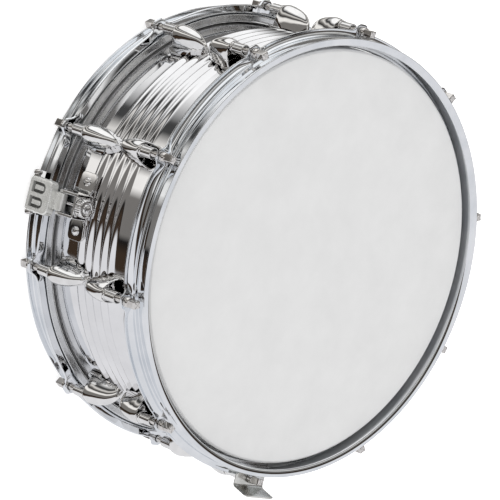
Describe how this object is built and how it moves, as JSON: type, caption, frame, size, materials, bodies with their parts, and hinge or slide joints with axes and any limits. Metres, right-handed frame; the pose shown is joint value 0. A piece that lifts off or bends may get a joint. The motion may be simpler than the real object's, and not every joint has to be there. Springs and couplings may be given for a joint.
{
  "type": "snare drum",
  "caption": "Shallow metal-shelled drum with a beaded shell, bullet lugs, flanged hoops, snare wires and a lever strainer.",
  "frame": {"origin": "on the drum's axis, in the plane of the snare-side rim that it stands on", "axes": "+Z along the drum's axis towards the batter head; the strainer faces -Y, the butt plate +Y and the sling bracket +X"},
  "size_m": [0.4056, 0.404, 0.155],
  "materials": {
    "chrome": "polished",
    "rod_chrome": "polished, slightly worn",
    "steel": "bright drawn",
    "aluminium": "satin",
    "coated_film": "fine coated",
    "clear_film": "hazy translucent",
    "strap": "satin"
  },
  "bodies": {
    "drum": {"shell": "chrome", "vent_grommet": "chrome", "batter_head": "coated_film", "resonant_head": "clear_film", "batter_flesh_hoop": "aluminium", "resonant_flesh_hoop": "aluminium", "batter_hoop": "chrome", "resonant_hoop": "chrome", "sling_bracket": "chrome", "butt_clamp_bar": "rod_chrome", "butt_plate": "chrome", "strainer_base": "chrome", "lever_pin": "steel", "batter_lug_1": "chrome", "batter_lug_2": "chrome", "batter_lug_3": "chrome", "batter_lug_4": "chrome", "batter_lug_5": "chrome", "batter_lug_6": "chrome", "batter_lug_7": "chrome", "batter_lug_8": "chrome", "batter_lug_9": "chrome", "batter_lug_10": "chrome", "resonant_lug_1": "chrome", "resonant_lug_2": "chrome", "resonant_lug_3": "chrome", "resonant_lug_4": "chrome", "resonant_lug_5": "chrome", "resonant_lug_6": "chrome", "resonant_lug_7": "chrome", "resonant_lug_8": "chrome", "resonant_lug_9": "chrome", "resonant_lug_10": "chrome"},
    "strainer_lever": {"strainer_lever": "chrome"},
    "strainer_carriage": {"strainer_carriage": "steel", "strainer_clamp_bar": "rod_chrome"},
    "snare_wires": {"snare_wires": "steel", "strainer_strap": "strap", "butt_strap": "strap"},
    "strainer_knob": {"strainer_knob": "chrome"},
    "batter_rod_1": {"batter_rod_1": "rod_chrome"},
    "batter_rod_2": {"batter_rod_2": "rod_chrome"},
    "batter_rod_3": {"batter_rod_3": "rod_chrome"},
    "batter_rod_4": {"batter_rod_4": "rod_chrome"},
    "batter_rod_5": {"batter_rod_5": "rod_chrome"},
    "batter_rod_6": {"batter_rod_6": "rod_chrome"},
    "batter_rod_7": {"batter_rod_7": "rod_chrome"},
    "batter_rod_8": {"batter_rod_8": "rod_chrome"},
    "batter_rod_9": {"batter_rod_9": "rod_chrome"},
    "batter_rod_10": {"batter_rod_10": "rod_chrome"},
    "resonant_rod_1": {"resonant_rod_1": "rod_chrome"},
    "resonant_rod_2": {"resonant_rod_2": "rod_chrome"},
    "resonant_rod_3": {"resonant_rod_3": "rod_chrome"},
    "resonant_rod_4": {"resonant_rod_4": "rod_chrome"},
    "resonant_rod_5": {"resonant_rod_5": "rod_chrome"},
    "resonant_rod_6": {"resonant_rod_6": "rod_chrome"},
    "resonant_rod_7": {"resonant_rod_7": "rod_chrome"},
    "resonant_rod_8": {"resonant_rod_8": "rod_chrome"},
    "resonant_rod_9": {"resonant_rod_9": "rod_chrome"},
    "resonant_rod_10": {"resonant_rod_10": "rod_chrome"}
  },
  "joints": [
    {"name": "lever_throw", "type": "hinge", "parent": "drum", "child": "strainer_lever", "pos_m": [0, -0.1955, 0.0465], "axis": [-1, 0, 0], "range_deg": [0, 90]},
    {"name": "carriage_drop", "type": "slide", "parent": "drum", "child": "strainer_carriage", "axis": [0, 0, -1], "range_m": [0, 0.00361]},
    {"name": "snare_drop", "type": "hinge", "parent": "drum", "child": "snare_wires", "pos_m": [0, 0.1911, 0.0062], "axis": [1, 0, 0], "range_deg": [0, 0.531]},
    {"name": "knob_turn", "type": "hinge", "parent": "drum", "child": "strainer_knob", "pos_m": [0, -0.1884, 0.0627], "axis": [0, 0, 1], "continuous": true},
    {"name": "batter_rod_1_turn", "type": "hinge", "parent": "drum", "child": "batter_rod_1", "pos_m": [0.1934, 0, 0.1385], "axis": [0, 0, 1], "continuous": true},
    {"name": "batter_rod_2_turn", "type": "hinge", "parent": "drum", "child": "batter_rod_2", "pos_m": [0.15646, 0.11368, 0.1385], "axis": [0, 0, 1], "continuous": true},
    {"name": "batter_rod_3_turn", "type": "hinge", "parent": "drum", "child": "batter_rod_3", "pos_m": [0.05976, 0.18393, 0.1385], "axis": [0, 0, 1], "continuous": true},
    {"name": "batter_rod_4_turn", "type": "hinge", "parent": "drum", "child": "batter_rod_4", "pos_m": [-0.05976, 0.18393, 0.1385], "axis": [0, 0, 1], "continuous": true},
    {"name": "batter_rod_5_turn", "type": "hinge", "parent": "drum", "child": "batter_rod_5", "pos_m": [-0.15646, 0.11368, 0.1385], "axis": [0, 0, 1], "continuous": true},
    {"name": "batter_rod_6_turn", "type": "hinge", "parent": "drum", "child": "batter_rod_6", "pos_m": [-0.1934, 0, 0.1385], "axis": [0, 0, 1], "continuous": true},
    {"name": "batter_rod_7_turn", "type": "hinge", "parent": "drum", "child": "batter_rod_7", "pos_m": [-0.15646, -0.11368, 0.1385], "axis": [0, 0, 1], "continuous": true},
    {"name": "batter_rod_8_turn", "type": "hinge", "parent": "drum", "child": "batter_rod_8", "pos_m": [-0.05976, -0.18393, 0.1385], "axis": [0, 0, 1], "continuous": true},
    {"name": "batter_rod_9_turn", "type": "hinge", "parent": "drum", "child": "batter_rod_9", "pos_m": [0.05976, -0.18393, 0.1385], "axis": [0, 0, 1], "continuous": true},
    {"name": "batter_rod_10_turn", "type": "hinge", "parent": "drum", "child": "batter_rod_10", "pos_m": [0.15646, -0.11368, 0.1385], "axis": [0, 0, 1], "continuous": true},
    {"name": "resonant_rod_1_turn", "type": "hinge", "parent": "drum", "child": "resonant_rod_1", "pos_m": [0.1934, 0, 0.0165], "axis": [0, 0, -1], "continuous": true},
    {"name": "resonant_rod_2_turn", "type": "hinge", "parent": "drum", "child": "resonant_rod_2", "pos_m": [0.15646, 0.11368, 0.0165], "axis": [0, 0, -1], "continuous": true},
    {"name": "resonant_rod_3_turn", "type": "hinge", "parent": "drum", "child": "resonant_rod_3", "pos_m": [0.05976, 0.18393, 0.0165], "axis": [0, 0, -1], "continuous": true},
    {"name": "resonant_rod_4_turn", "type": "hinge", "parent": "drum", "child": "resonant_rod_4", "pos_m": [-0.05976, 0.18393, 0.0165], "axis": [0, 0, -1], "continuous": true},
    {"name": "resonant_rod_5_turn", "type": "hinge", "parent": "drum", "child": "resonant_rod_5", "pos_m": [-0.15646, 0.11368, 0.0165], "axis": [0, 0, -1], "continuous": true},
    {"name": "resonant_rod_6_turn", "type": "hinge", "parent": "drum", "child": "resonant_rod_6", "pos_m": [-0.1934, 0, 0.0165], "axis": [0, 0, -1], "continuous": true},
    {"name": "resonant_rod_7_turn", "type": "hinge", "parent": "drum", "child": "resonant_rod_7", "pos_m": [-0.15646, -0.11368, 0.0165], "axis": [0, 0, -1], "continuous": true},
    {"name": "resonant_rod_8_turn", "type": "hinge", "parent": "drum", "child": "resonant_rod_8", "pos_m": [-0.05976, -0.18393, 0.0165], "axis": [0, 0, -1], "continuous": true},
    {"name": "resonant_rod_9_turn", "type": "hinge", "parent": "drum", "child": "resonant_rod_9", "pos_m": [0.05976, -0.18393, 0.0165], "axis": [0, 0, -1], "continuous": true},
    {"name": "resonant_rod_10_turn", "type": "hinge", "parent": "drum", "child": "resonant_rod_10", "pos_m": [0.15646, -0.11368, 0.0165], "axis": [0, 0, -1], "continuous": true}
  ],
  "couplings": [
    {"joint": "carriage_drop", "follows": "lever_throw", "m_per_rad": 0.0022918},
    {"joint": "snare_drop", "follows": "lever_throw", "ratio": 0.0058889}
  ]
}
